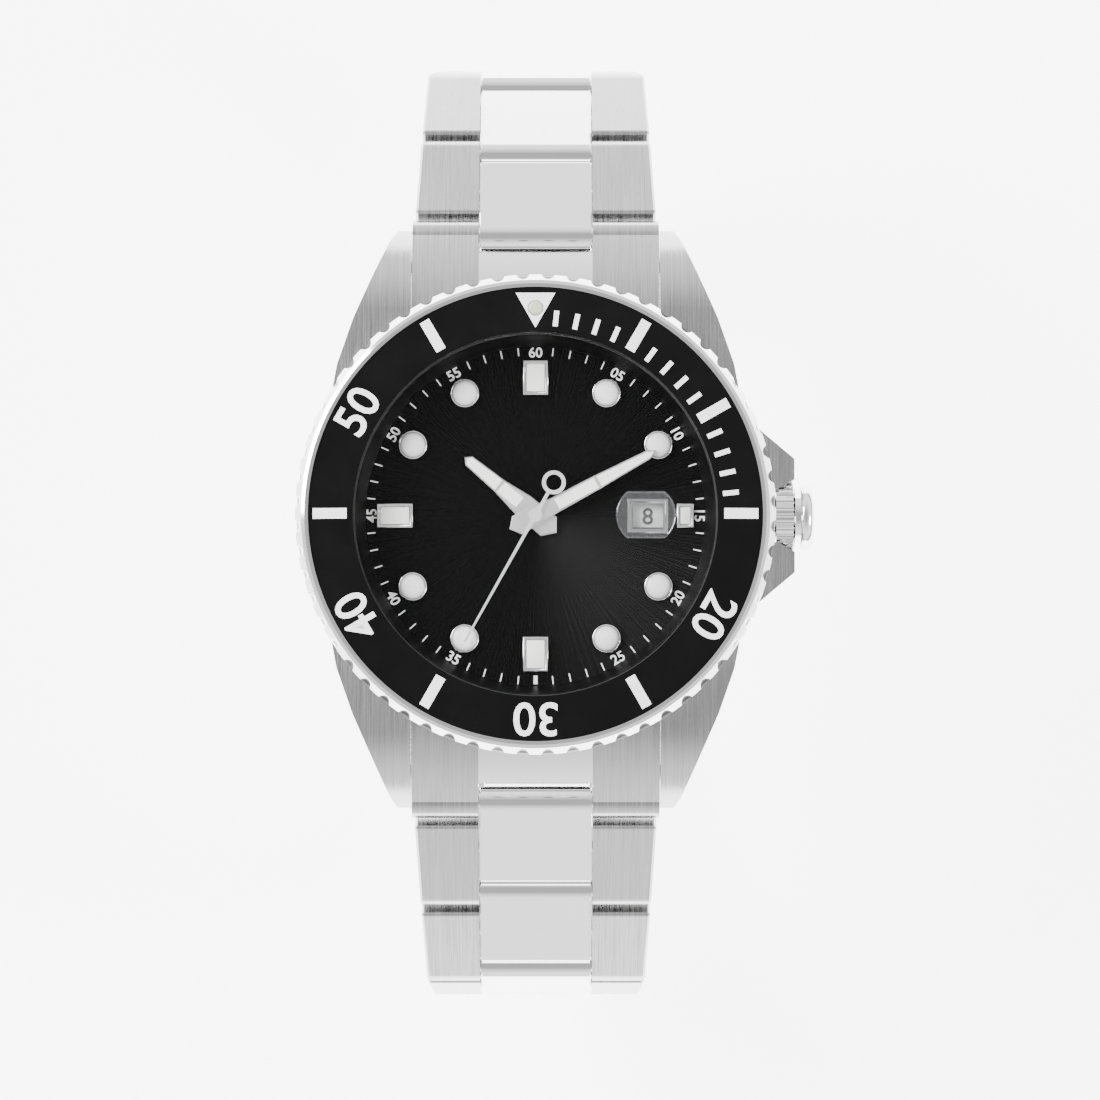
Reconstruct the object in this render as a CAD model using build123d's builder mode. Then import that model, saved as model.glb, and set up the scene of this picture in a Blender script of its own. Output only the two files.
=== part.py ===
from build123d import *
from math import asin, atan2, cos, degrees, radians, sin, sqrt
import os

# A dive watch on a three-link bracelet. Millimetres. The dial faces +Z, 12 o'clock is +Y and the crown +X.
# The origin is the centre of the case back's flat outer face.

os.makedirs("parts", exist_ok=True)

# ---- driving dimensions ----
run_gap = 0.05            # radial clearance of a turning fit
seat_gap = 0.03           # clearance round a piece that is seated

case_r = 20.3             # mid case radius at 12 and 6 o'clock
case_low = 1.2            # underside of the mid case
case_top = 8.0            # top of the mid case, under the bezel
lug_gap = 22.0            # standard strap width between the lugs
lug_reach = 25.7          # from the centre to the lug tips
lug_out = 17.5            # half width over the lugs where they meet the round case
lug_tip_out = 12.6        # half width over the lug tips
guard_reach = 22.8        # from the centre to the crown guards' tips
crown_z = 4.9             # height of the crown's axis

bezel_r = 21.05           # over the scallops' crests
bezel_low = 8.15
bezel_lip = 0.5           # height of the full round lip under the scallops
bezel_top = 11.2
bezel_teeth = 60
scallop_r = 0.68
scallop_depth = 0.5
insert_r = 19.85
insert_in = 15.95
insert_t = 0.6
insert_rise = 0.45        # the insert's inner edge stands this much over its outer edge
pearl_r = 0.64
pearl_at = 18.0           # from the centre to the luminous pearl

collar_r = 17.3           # neck of the case that the bezel turns on
collar_top = 10.1
bore_r = 16.3             # bore of the case above the dial seat
dial_z = 6.9              # underside of the dial
dial_t = 0.4
dial_r = 15.9
rehaut_in = 15.0
rehaut_top = 9.2
crystal_r = 15.85
crystal_top = 11.9

back_r = 17.5
back_t = 1.5              # thickness of the case back's floor
back_thread_r = 16.2
back_thread_top = 3.0
back_slots = 6            # for the opening key

bar_y = 22.4              # spring bars that hold the end links
bar_z = 3.5
bar_r = 0.9
bar_tip_r = 0.5
bar_tip = 1.3             # how far each tip reaches into its lug

move_r = 12.95            # movement radius
plate_low = 4.1
plate_top = 6.3
bridge_low = 2.75
bridge_t = 0.55
cavity_r = 15.2

seconds_arbor_r = 0.2
minute_tube_r = 0.55
hour_tube_r = 0.95
tube_wall = 0.28
hour_hand_z = 7.7
minute_hand_z = 8.1
seconds_hand_z = 8.5
hand_t = 0.18
hour_hand_len = 8.1
minute_hand_len = 12.1
hand_rim = 0.13           # metal round the hands' lume
seconds_hand_len = 12.8
hour_angle = -309.5       # hands at rest, turned about +Z from 12 o'clock
minute_angle = -61.7
seconds_angle = -209.2
marker_ring = 12.5        # radius of the ring of hour markers
marker_t = 0.45
marker_rim = 0.26         # metal round each marker's lume
dot_r = 1.28
date_x = 9.9
date_wide = 2.65          # opening of the date window
date_tall = 2.05
date_rim = 0.5            # width of the frame round it
date_disc_t = 0.2
lens_r = 2.65
lens_tall = 4.15

crown_start = 21.2
crown_r = 3.15
crown_end = 24.6
stem_r = 0.5
tube_r = 1.75

pitch = 9.4               # bracelet, pivot to pivot
link_t = 2.8              # bracelet thickness
centre_w = 10.0           # width of the centre links
end_gap = 0.3             # between one link's end and the next
link_round = 0.3          # rounding of a link's free end
side_gap = 0.08           # between a centre link and an outer link
pin_r = 0.55
pivot_y = 25.2            # the bracelet's first pivots
pivot_z = 3.0
row_angles = [33, 42, 80, 110, 138, 160]          # each row's slope, down from the dial's plane
row_widths = [21.6, 20.7, 19.8, 19.0, 18.4, 18.0]
clasp_join_w = 18.0
clasp_w = 20.0
clasp_r = 75.0            # the clasp is curved to this radius, at the links' mid thickness
cover_t = 1.0
blade_t = 0.9
blade_w = 16.4
hinge_r = 0.75            # knuckles of the clasp's blades
hinge_pin_r = 0.35
button_travel = 0.8

link_r = link_t / 2


def save(build, name):
    build.part.label = name
    export_step(build.part, f"parts/{name}.step")


def ring_profile(r_in, r_out, low, high):
    # A rectangle in the XZ plane that revolves into a plain ring.
    with Locations(((r_in + r_out) / 2, (low + high) / 2)):
        Rectangle(r_out - r_in, high - low)


# ---- case ----
with BuildPart() as mid_case:
    with BuildSketch(Plane.XY.offset(case_low)):
        Circle(case_r)
        with BuildLine():
            Polyline((lug_gap / 2, 4), (lug_out + 0.9, 8.6), (lug_out, 13.4), (lug_out - 1.4, 17.4),
                     (lug_tip_out + 0.25, lug_reach - 0.9), (lug_tip_out - 0.35, lug_reach),
                     (lug_gap / 2, lug_reach), close=True)
        make_face()
        mirror(about=Plane.YZ)
        mirror(about=Plane.XZ)
        for up in (1, -1):
            with BuildLine():
                Polyline((15.0, up * 9.5), (case_r - 1.3, up * 8.2), (guard_reach, up * 5.0),
                         (guard_reach, up * 3.2), (crown_start + 0.1, up * 2.35), (15.0, up * 2.35), close=True)
            make_face()
    extrude(amount=case_top - case_low)
    # round recess between the guards for the crown
    with BuildSketch(Plane.YZ.offset(crown_start - 0.15)):
        with Locations((0, crown_z)):
            Circle(crown_r + 0.2)
    extrude(amount=10, mode=Mode.SUBTRACT)
    with BuildSketch(Plane.YZ):
        with BuildLine():
            Polyline((0, case_low), (case_r - 0.5, case_low))
            ThreePointArc((case_r - 0.5, case_low), (23.4, 0.95), (lug_reach - 0.7, 0.9))
            ThreePointArc((lug_reach - 0.7, 0.9), (lug_reach - 0.1, 1.3), (lug_reach, 2.0))
            Line((lug_reach, 2.0), (lug_reach, 3.0))
            ThreePointArc((lug_reach, 3.0), (22.9, 6.45), (17.6, case_top))
            Polyline((17.6, case_top), (0, case_top), (0, case_low))
        make_face()
        mirror(about=Plane.YZ)
    extrude(amount=40, both=True, mode=Mode.INTERSECT)
    # flat space between the lugs for the end links
    with BuildSketch(Plane.XY):
        Rectangle(lug_gap, 2 * lug_reach + 4)
        Circle(case_r, mode=Mode.SUBTRACT)
    extrude(amount=case_top + 1, mode=Mode.SUBTRACT)
    # collar for the bezel, dial seat, movement cavity and the case back's bore
    with BuildSketch(Plane.XZ):
        ring_profile(bore_r, collar_r, case_top - 1, collar_top)
    revolve(axis=Axis.Z)
    Hole(radius=cavity_r, depth=100)
    with BuildSketch(Plane.XY.offset(dial_z)):
        Circle(bore_r)
    extrude(amount=collar_top, mode=Mode.SUBTRACT)
    with BuildSketch(Plane.XY):
        Circle(back_thread_r + seat_gap)
    extrude(amount=back_thread_top + seat_gap, mode=Mode.SUBTRACT)
    with BuildSketch(Plane.XY.offset(case_low)):
        Circle(back_r - 0.3)
        Circle(back_r - 0.9, mode=Mode.SUBTRACT)
    extrude(amount=0.45, mode=Mode.SUBTRACT)
    with BuildSketch(Plane.YZ.offset(cavity_r - 1)):
        with Locations((0, crown_z)):
            Circle(tube_r)
    extrude(amount=12, mode=Mode.SUBTRACT)
    # blind holes for the spring bars' tips
    with BuildSketch(Plane.YZ):
        with Locations((bar_y, bar_z), (-bar_y, bar_z)):
            Circle(bar_tip_r + run_gap)
    extrude(amount=lug_gap / 2 + bar_tip + 0.1, both=True, mode=Mode.SUBTRACT)
save(mid_case, "mid_case")

with BuildPart() as case_back:
    with BuildSketch(Plane.XZ):
        ring_profile(0, back_r, 0, case_low)
        ring_profile(0, back_thread_r, case_low, back_t)
        ring_profile(back_thread_r - 1.2, back_thread_r, back_t, back_thread_top)
    revolve(axis=Axis.Z)
    with BuildSketch(Plane.XY):
        with PolarLocations(back_r, back_slots):
            Rectangle(2.4, 2.6)
    extrude(amount=0.8, mode=Mode.SUBTRACT)
    with BuildSketch(Plane.XY):
        Circle(13.2)
        Circle(12.9, mode=Mode.SUBTRACT)
    extrude(amount=0.2, mode=Mode.SUBTRACT)
save(case_back, "case_back")

with BuildPart() as case_back_gasket:
    with BuildSketch(Plane.XZ):
        ring_profile(back_r - 0.85, back_r - 0.35, case_low, case_low + 0.42)
    revolve(axis=Axis.Z)
save(case_back_gasket, "case_back_gasket")

# ---- bezel ----
with BuildPart() as bezel_ring:
    seat_out = bezel_top - 0.15 - insert_t
    with BuildSketch(Plane.XZ):
        with BuildLine():
            Polyline((collar_r + run_gap, bezel_low), (bezel_r - 0.45, bezel_low), (bezel_r, bezel_low + 0.4),
                     (bezel_r, bezel_top - 0.85), (bezel_r - 0.55, bezel_top - 0.1), (insert_r + 0.35, bezel_top),
                     (insert_r + seat_gap, bezel_top), (insert_r + seat_gap, seat_out - 0.02),
                     (insert_in, seat_out + insert_rise - 0.02), (insert_in, collar_top + 0.15),
                     (collar_r + run_gap, collar_top + 0.15), close=True)
        make_face()
    revolve(axis=Axis.Z)
    # scallops lean outwards, so that they run out above the lip
    scallop_fall = bezel_top - bezel_low - bezel_lip
    lean = degrees(atan2(scallop_depth, scallop_fall))
    with PolarLocations(0, bezel_teeth, start_angle=90 + 180 / bezel_teeth):
        with Locations(Location((bezel_r + scallop_r, 0, bezel_low + bezel_lip), (0, -lean, 0))):
            Cylinder(scallop_r, 2 * scallop_fall + 2, mode=Mode.SUBTRACT)
save(bezel_ring, "bezel_ring")

with BuildPart() as bezel_insert:
    with BuildSketch(Plane.XZ):
        with BuildLine():
            Polyline((insert_in, seat_out + insert_rise), (insert_r, seat_out),
                     (insert_r, seat_out + insert_t), (insert_in, seat_out + insert_t + insert_rise), close=True)
        make_face()
    revolve(axis=Axis.Z)
    with BuildSketch(Plane.XY.offset(seat_out)):
        with Locations((0, pearl_at)):
            Circle(pearl_r + seat_gap)
    extrude(amount=4, mode=Mode.SUBTRACT)
save(bezel_insert, "bezel_insert")

with BuildPart() as bezel_pearl:
    pearl_low = seat_out + insert_rise * (insert_r - pearl_at + pearl_r) / (insert_r - insert_in) + 0.05
    with BuildSketch(Plane.XY.offset(pearl_low)):
        with Locations((0, pearl_at)):
            Circle(pearl_r)
    extrude(amount=0.75)
    fillet(edges().group_by(Axis.Z)[-1], 0.3)
save(bezel_pearl, "bezel_pearl")

with BuildPart() as bezel_click_spring:
    # an open ring of flat wire, in the space between the case and the bezel
    with BuildSketch(Plane.XY.offset(case_top)):
        Circle(collar_r + 2.3)
        Circle(collar_r + 1.1, mode=Mode.SUBTRACT)
        with Locations((0, -case_r)):
            Rectangle(9, 12, mode=Mode.SUBTRACT)
    extrude(amount=bezel_low - case_top - run_gap)
save(bezel_click_spring, "bezel_click_spring")

# ---- crystal ----
with BuildPart() as crystal:
    with BuildSketch(Plane.XY.offset(rehaut_top + seat_gap)):
        Circle(crystal_r)
    extrude(amount=crystal_top - rehaut_top - seat_gap)
    chamfer(edges().group_by(Axis.Z)[-1], 0.25)
save(crystal, "crystal")

with BuildPart() as crystal_gasket:
    with BuildSketch(Plane.XZ):
        ring_profile(crystal_r, bore_r, rehaut_top + seat_gap, collar_top - 0.1)
    revolve(axis=Axis.Z)
save(crystal_gasket, "crystal_gasket")

with BuildPart() as date_magnifier:
    with BuildSketch(Plane.XY.offset(rehaut_top + seat_gap)):
        with Locations((date_x - 0.2, 0)):
            Circle(lens_r)
            Rectangle(2 * lens_r, lens_tall, mode=Mode.INTERSECT)
    extrude(amount=-0.5)
    fillet(edges().group_by(Axis.Z)[0], 0.2)
save(date_magnifier, "date_magnifier")

# ---- dial side ----
with BuildPart() as rehaut_ring:
    with BuildSketch(Plane.XZ):
        with BuildLine():
            Polyline((rehaut_in, dial_z + dial_t), (bore_r - seat_gap, dial_z + dial_t),
                     (bore_r - seat_gap, rehaut_top), (rehaut_in + 0.8, rehaut_top),
                     (rehaut_in, dial_z + dial_t + 0.25), close=True)
        make_face()
    revolve(axis=Axis.Z)
save(rehaut_ring, "rehaut_ring")

with BuildPart() as dial:
    with BuildSketch(Plane.XY.offset(dial_z)):
        Circle(dial_r)
        Circle(hour_tube_r + 0.2, mode=Mode.SUBTRACT)
        with Locations((date_x, 0)):
            Rectangle(date_wide, date_tall, mode=Mode.SUBTRACT)
    extrude(amount=dial_t)
save(dial, "dial")

marker_low = dial_z + dial_t
round_angles = [90 - 30 * h for h in (1, 2, 4, 5, 7, 8, 10, 11)]
bar_spots = [(0, marker_ring - 0.3, 2.2, 3.05), (0, 0.3 - marker_ring, 2.2, 3.05),
             (0.1 - marker_ring, 0, 3.15, 2.1), (marker_ring + 0.7, 0, 1.5, 2.1)]
marker_seat = 0.15        # floor under each marker's lume

with BuildPart() as hour_markers:
    with BuildSketch(Plane.XY.offset(marker_low)):
        for angle in round_angles:
            with PolarLocations(marker_ring, 1, start_angle=angle):
                Circle(dot_r)
        for x, y, wide, tall in bar_spots:
            with Locations((x, y)):
                Rectangle(wide, tall)
    extrude(amount=marker_t)
    with BuildSketch(Plane.XY.offset(marker_low + marker_seat)):
        for angle in round_angles:
            with PolarLocations(marker_ring, 1, start_angle=angle):
                Circle(dot_r - marker_rim / 2)
        for x, y, wide, tall in bar_spots:
            with Locations((x, y)):
                Rectangle(wide - 2 * marker_rim, tall - 2 * marker_rim)
    extrude(amount=marker_t, mode=Mode.SUBTRACT)
save(hour_markers, "hour_markers")

with BuildPart() as marker_lume:
    with BuildSketch(Plane.XY.offset(marker_low + marker_seat)):
        for angle in round_angles:
            with PolarLocations(marker_ring, 1, start_angle=angle):
                Circle(dot_r - marker_rim / 2)
        for x, y, wide, tall in bar_spots:
            with Locations((x, y)):
                Rectangle(wide - 2 * marker_rim, tall - 2 * marker_rim)
    extrude(amount=marker_t - 0.1)
save(marker_lume, "marker_lume")

with BuildPart() as date_frame:
    with BuildSketch(Plane.XY.offset(marker_low)):
        with Locations((date_x, 0)):
            Rectangle(date_wide + 2 * date_rim, date_tall + 2 * date_rim)
            Rectangle(date_wide, date_tall, mode=Mode.SUBTRACT)
    extrude(amount=0.3)
    # the frame slopes down towards its window
    chamfer(faces().sort_by(Axis.Z)[-1].inner_wires()[0].edges(), 0.26)
    chamfer(faces().sort_by(Axis.Z)[-1].outer_wire().edges(), 0.08)
save(date_frame, "date_frame")

with BuildPart() as date_disc:
    with BuildSketch(Plane.XY.offset(plate_top + 0.15)):
        Circle(date_x + 2.3)
        Circle(date_x - 1.9, mode=Mode.SUBTRACT)
    extrude(amount=date_disc_t)
save(date_disc, "date_disc")


def hand_outline(length, widths, tail):
    # Sword-shaped hand pointing to +Y. Each width is a half width and how far from the centre it is measured.
    right = [(0, length)] + widths + [(0, -tail)]
    left = [(-x, y) for x, y in widths[::-1]]
    with BuildLine() as outline:
        Polyline(*right, *left, close=True)
    make_face(outline.edges())


def hand_window(low, high, low_half, high_half, point):
    # A lume window whose far end may be pointed.
    with BuildLine() as outline:
        Polyline((-low_half, low), (low_half, low), (high_half, high), (0, high + point), (-high_half, high),
                 close=True)
    make_face(outline.edges())


def make_hand(angle, z, length, widths, tail, bar_at, lume_root, tube_out, tube_low):
    plane = Plane.XY.offset(z).rotated((0, 0, angle))
    (tip_half, tip_at), (mid_half, mid_at), (root_half, root_at) = widths[:3]
    tip_fall = length - tip_at
    with BuildPart() as lume:
        with BuildSketch(plane):
            hand_window(lume_root, bar_at - hand_rim, mid_half - hand_rim, mid_half - hand_rim, 0.001)
            hand_window(bar_at + hand_rim, tip_at, mid_half - hand_rim, tip_half - hand_rim,
                        tip_fall - 2 * hand_rim)
        extrude(amount=hand_t - 0.03)
    with BuildPart() as metal:
        with BuildSketch(plane):
            hand_outline(length, widths, tail)
        extrude(amount=hand_t)
        chamfer(faces().sort_by(Axis.Z)[-1].edges(), 0.07)
        with BuildSketch(Plane.XY.offset(tube_low)):
            Circle(tube_out)
        extrude(amount=z + hand_t - tube_low)
        with BuildSketch(Plane.XY.offset(tube_low)):
            Circle(tube_out - tube_wall)
        extrude(amount=z + hand_t - tube_low, mode=Mode.SUBTRACT)
        with BuildSketch(plane):
            hand_window(lume_root, bar_at - hand_rim, mid_half - hand_rim, mid_half - hand_rim, 0.001)
            hand_window(bar_at + hand_rim, tip_at, mid_half - hand_rim, tip_half - hand_rim,
                        tip_fall - 2 * hand_rim)
        extrude(amount=hand_t, mode=Mode.SUBTRACT)
    return metal, lume


hour_widths = [(0.5, 7.6), (0.67, 4.1), (1.05, 1.4), (1.1, -1.5)]
hour_hand, hour_hand_lume = make_hand(hour_angle, hour_hand_z, hour_hand_len, hour_widths, 2.4, 4.1, 1.8,
                                      hour_tube_r, plate_top + 0.4)
save(hour_hand, "hour_hand")
save(hour_hand_lume, "hour_hand_lume")
minute_widths = [(0.4, 11.3), (0.64, 6.2), (0.72, 1.95), (0.91, -1.85)]
minute_hand, minute_hand_lume = make_hand(minute_angle, minute_hand_z, minute_hand_len, minute_widths, 2.6, 6.2,
                                          2.1, minute_tube_r, plate_top)
save(minute_hand, "minute_hand")
save(minute_hand_lume, "minute_hand_lume")

with BuildPart() as seconds_hand:
    with BuildSketch(Plane.XY.offset(seconds_hand_z).rotated((0, 0, seconds_angle))):
        with BuildLine():
            Polyline((-0.15, 0), (-0.08, seconds_hand_len), (0.08, seconds_hand_len), (0.15, 0),
                     (0.15, -2.4), (-0.15, -2.4), close=True)
        make_face()
        Circle(0.6)
        with Locations((0, -3.3)):
            Circle(1.05)
            Circle(0.7, mode=Mode.SUBTRACT)
    extrude(amount=0.12)
    # arbor of the fourth wheel, which carries the hand
    with BuildSketch(Plane.XY.offset(bridge_low + 0.1)):
        Circle(seconds_arbor_r)
    extrude(amount=seconds_hand_z - bridge_low)
save(seconds_hand, "seconds_hand")

# ---- movement ----
wheel_low = 3.45
barrel_spot, barrel_wheel_r = (-6.4, 4.6), 4.6
centre_wheel_r = 3.2
third_spot, third_wheel_r = (5.2, 3.6), 2.9
escape_spot, escape_wheel_r = (6.6, -1.6), 2.1
fork_spot = (6.1, -4.55)
balance_spot, balance_wheel_r = (-1.6, -7.6), 4.0
arbor_r = 0.22
wheel_t = 0.2

arbor_spots = [barrel_spot, third_spot, escape_spot, fork_spot, balance_spot]

with BuildPart() as movement_holder:
    with BuildSketch(Plane.XZ):
        ring_profile(move_r + seat_gap, cavity_r - seat_gap, plate_low, dial_z)
    revolve(axis=Axis.Z)
    with BuildSketch(Plane.YZ):
        with Locations((0, crown_z)):
            Circle(tube_r + 0.1)
    extrude(amount=cavity_r + 1, mode=Mode.SUBTRACT)
save(movement_holder, "movement_holder")

with BuildPart() as main_plate:
    with BuildSketch(Plane.XY.offset(plate_low)):
        Circle(move_r)
        Circle(hour_tube_r + run_gap, mode=Mode.SUBTRACT)
    extrude(amount=plate_top - plate_low)
    with BuildSketch(Plane.XY.offset(plate_low)):
        with Locations(*arbor_spots):
            Circle(arbor_r + run_gap)
    extrude(amount=0.8, mode=Mode.SUBTRACT)
    with BuildSketch(Plane.YZ.offset(8.5)):
        with Locations((0, crown_z)):
            Circle(stem_r + 0.1)
    extrude(amount=10, mode=Mode.SUBTRACT)
    # four pillars hold the bridges
    with BuildSketch(Plane.XY.offset(plate_low)):
        with PolarLocations(11.9, 4, start_angle=10):
            Circle(0.7)
    extrude(amount=-(plate_low - bridge_low - bridge_t))
save(main_plate, "main_plate")

with BuildPart() as train_bridge:
    with BuildSketch(Plane.XY.offset(bridge_low)):
        Circle(move_r - 0.2)
        with Locations((balance_spot[0], balance_spot[1] - 2)):
            Circle(balance_wheel_r + 2.3, mode=Mode.SUBTRACT)
        with Locations(barrel_spot, third_spot, escape_spot, fork_spot):
            Circle(arbor_r + run_gap, mode=Mode.SUBTRACT)
        Circle(seconds_arbor_r + run_gap, mode=Mode.SUBTRACT)
    extrude(amount=bridge_t)
save(train_bridge, "train_bridge")

with BuildPart() as balance_cock:
    with BuildSketch(Plane.XY.offset(bridge_low)):
        with Locations(balance_spot):
            Circle(1.3)
        with Locations((balance_spot[0], balance_spot[1] - 1.4)):
            Rectangle(1.8, 3.2)
        with Locations(balance_spot):
            Circle(arbor_r + run_gap, mode=Mode.SUBTRACT)
    extrude(amount=bridge_t)
save(balance_cock, "balance_cock")


def make_wheel(spot, radius, teeth, low, thick, hub):
    # A spoked wheel with fine teeth on its own arbor.
    with BuildPart() as wheel:
        with BuildSketch(Plane.XY.offset(low)):
            with Locations(spot):
                Circle(radius)
                Circle(radius - 0.6, mode=Mode.SUBTRACT)
                Rectangle(2 * radius - 0.8, 0.4)
                Rectangle(0.4, 2 * radius - 0.8)
                Circle(hub)
        extrude(amount=thick)
        with Locations((*spot, low)):
            with PolarLocations(radius, teeth):
                Cylinder(0.1, 3 * thick, mode=Mode.SUBTRACT)
        with BuildSketch(Plane.XY.offset(bridge_low + 0.05)):
            with Locations(spot):
                Circle(arbor_r)
        extrude(amount=plate_low + 0.7 - bridge_low)
    return wheel


third_wheel = make_wheel(third_spot, third_wheel_r, 24, wheel_low, wheel_t, 0.6)
save(third_wheel, "third_wheel")
escape_wheel = make_wheel(escape_spot, escape_wheel_r, 15, wheel_low, wheel_t, 0.5)
save(escape_wheel, "escape_wheel")
mainspring_barrel = make_wheel(barrel_spot, barrel_wheel_r, 36, wheel_low, 0.5, barrel_wheel_r - 1)
save(mainspring_barrel, "mainspring_barrel")
balance_wheel = make_wheel(balance_spot, balance_wheel_r, 12, wheel_low, 0.3, 0.6)
save(balance_wheel, "balance_wheel")

with BuildPart() as fourth_wheel:
    with BuildSketch(Plane.XY.offset(wheel_low)):
        Circle(centre_wheel_r)
        Circle(centre_wheel_r - 0.6, mode=Mode.SUBTRACT)
        Rectangle(2 * centre_wheel_r - 0.8, 0.4)
        Rectangle(0.4, 2 * centre_wheel_r - 0.8)
        Circle(0.6)
        Circle(seconds_arbor_r, mode=Mode.SUBTRACT)
    extrude(amount=wheel_t)
save(fourth_wheel, "fourth_wheel")

with BuildPart() as pallet_fork:
    with BuildSketch(Plane.XY.offset(wheel_low)):
        with Locations(fork_spot):
            Rectangle(2.2, 0.35)
            with Locations((-1.0, -0.1)):
                Rectangle(1.6, 0.25)
            Circle(0.45)
    extrude(amount=wheel_t)
    with BuildSketch(Plane.XY.offset(bridge_low + 0.05)):
        with Locations(fork_spot):
            Circle(arbor_r)
    extrude(amount=plate_low + 0.7 - bridge_low)
save(pallet_fork, "pallet_fork")

rotor_low = back_t + 0.25
rotor_t = 0.8
with BuildPart() as rotor_bearing:
    with BuildSketch(Plane.XY.offset(rotor_low)):
        Circle(1.6)
        Circle(0.5, mode=Mode.SUBTRACT)
    extrude(amount=bridge_low - rotor_low)
save(rotor_bearing, "rotor_bearing")

with BuildPart() as rotor:
    with BuildSketch(Plane.XY.offset(rotor_low)):
        Circle(move_r - 0.5)
        with Locations((0, move_r / 2 + 1)):
            Rectangle(2 * move_r + 2, move_r + 2, mode=Mode.SUBTRACT)
        Circle(2.6)
        Circle(1.6 + run_gap, mode=Mode.SUBTRACT)
    extrude(amount=0.35)
    with BuildSketch(Plane.XY.offset(rotor_low)):
        Circle(move_r - 0.5)
        Circle(move_r - 3.0, mode=Mode.SUBTRACT)
        with Locations((0, move_r / 2 + 1)):
            Rectangle(2 * move_r + 2, move_r + 2, mode=Mode.SUBTRACT)
    extrude(amount=rotor_t)
save(rotor, "rotor")

# ---- crown ----
neck_start = crown_start + 1.7
knob_start = neck_start + 0.5
with BuildPart() as crown:
    with BuildSketch(Plane.XZ):
        with BuildLine():
            Polyline((crown_start, crown_z + tube_r + 0.3), (crown_start, crown_z + crown_r),
                     (neck_start - 0.2, crown_z + crown_r), (neck_start, crown_z + crown_r - 0.35),
                     (neck_start, crown_z + 2.3), (knob_start, crown_z + 2.3),
                     (knob_start, crown_z + crown_r - 0.4))
            ThreePointArc((knob_start, crown_z + crown_r - 0.4), (knob_start + 0.6, crown_z + crown_r - 0.25),
                          (crown_end - 0.1, crown_z + crown_r - 0.7))
            ThreePointArc((crown_end - 0.1, crown_z + crown_r - 0.7), (crown_end, crown_z + 2.0),
                          (crown_end, crown_z + 1.6))
            Polyline((crown_end, crown_z + 1.6), (crown_end, crown_z), (knob_start - 0.2, crown_z),
                     (knob_start - 0.2, crown_z + tube_r + 0.3), (crown_start, crown_z + tube_r + 0.3))
        make_face()
    revolve(axis=Axis((0, 0, crown_z), (1, 0, 0)))
    # flutes along both knurled bands
    crown_teeth = 32
    with BuildSketch(Plane.YZ.offset(crown_start - 1)):
        with Locations((0, crown_z)):
            with PolarLocations(crown_r + 0.12, crown_teeth):
                Circle(0.24)
    extrude(amount=crown_end - crown_start + 2, mode=Mode.SUBTRACT)
save(crown, "crown")

with BuildPart() as winding_stem:
    with BuildSketch(Plane.YZ.offset(9.2)):
        with Locations((0, crown_z)):
            Circle(stem_r)
    extrude(amount=knob_start - 0.2 - 9.2)
save(winding_stem, "winding_stem")

with BuildPart() as crown_tube:
    with BuildSketch(Plane.YZ.offset(cavity_r + 0.2)):
        with Locations((0, crown_z)):
            Circle(tube_r)
            Circle(stem_r + 0.15, mode=Mode.SUBTRACT)
    extrude(amount=neck_start - 0.1 - cavity_r - 0.2)
save(crown_tube, "crown_tube")

with BuildPart() as crown_gasket:
    with BuildSketch(Plane.YZ.offset(neck_start - 0.7)):
        with Locations((0, crown_z)):
            Circle(tube_r + 0.26)
            Circle(tube_r + 0.04, mode=Mode.SUBTRACT)
    extrude(amount=0.45)
save(crown_gasket, "crown_gasket")


# ---- bracelet ----
def chain_plane(y, z, slope, way):
    # Local x runs down the chain, local y points out of the loop; way is 1 at 12 o'clock and -1 at 6.
    return Plane(origin=(0, y, z), x_dir=(0, way * cos(radians(slope)), -sin(radians(slope))), z_dir=(way, 0, 0))


pivots = [(pivot_y, pivot_z)]
for slope in row_angles:
    last_y, last_z = pivots[-1]
    pivots.append((last_y + pitch * cos(radians(slope)), last_z - pitch * sin(radians(slope))))


def end_link(way):
    ear_in = centre_w / 2 + side_gap
    ear_w = lug_gap / 2 - seat_gap - ear_in
    with BuildPart() as link:
        with BuildSketch(Plane.YZ):
            with BuildLine():
                Polyline((16.0, pivot_z - link_r), (pivot_y, pivot_z - link_r))
                ThreePointArc((pivot_y, pivot_z - link_r), (pivot_y + link_r, pivot_z), (pivot_y, pivot_z + link_r))
                ThreePointArc((pivot_y, pivot_z + link_r), (22.3, 6.2), (17.5, case_top - 0.5))
                Polyline((17.5, case_top - 0.5), (16.0, case_top - 0.5), (16.0, pivot_z - link_r))
            make_face()
        extrude(amount=ear_in + ear_w, both=True)
        with BuildSketch(Plane.XY):
            Circle(case_r + seat_gap)
            with Locations((0, pivot_y - link_r - end_gap + 5)):
                Rectangle(2 * ear_in, 10)
        extrude(amount=case_top + 1, mode=Mode.SUBTRACT)
        with BuildSketch(Plane.YZ):
            with Locations((bar_y, bar_z)):
                Circle(bar_r + seat_gap)
            with Locations((pivot_y, pivot_z)):
                Circle(pin_r)
        extrude(amount=ear_in + ear_w - 0.7, both=True, mode=Mode.SUBTRACT)
        with BuildSketch(Plane.YZ):
            with Locations((bar_y, bar_z)):
                Circle(bar_r + seat_gap)
        extrude(amount=ear_in + ear_w, both=True, mode=Mode.SUBTRACT)
        with BuildSketch(Plane.YZ):
            with Locations((pivot_y, pivot_z)):
                Circle(pin_r)
        extrude(amount=ear_in + ear_w - 0.7, both=True)
        if way < 0:
            mirror(about=Plane.XZ, mode=Mode.REPLACE)
    return link


end_link_12 = end_link(1)
save(end_link_12, "end_link_12")
end_link_6 = end_link(-1)
save(end_link_6, "end_link_6")

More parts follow.
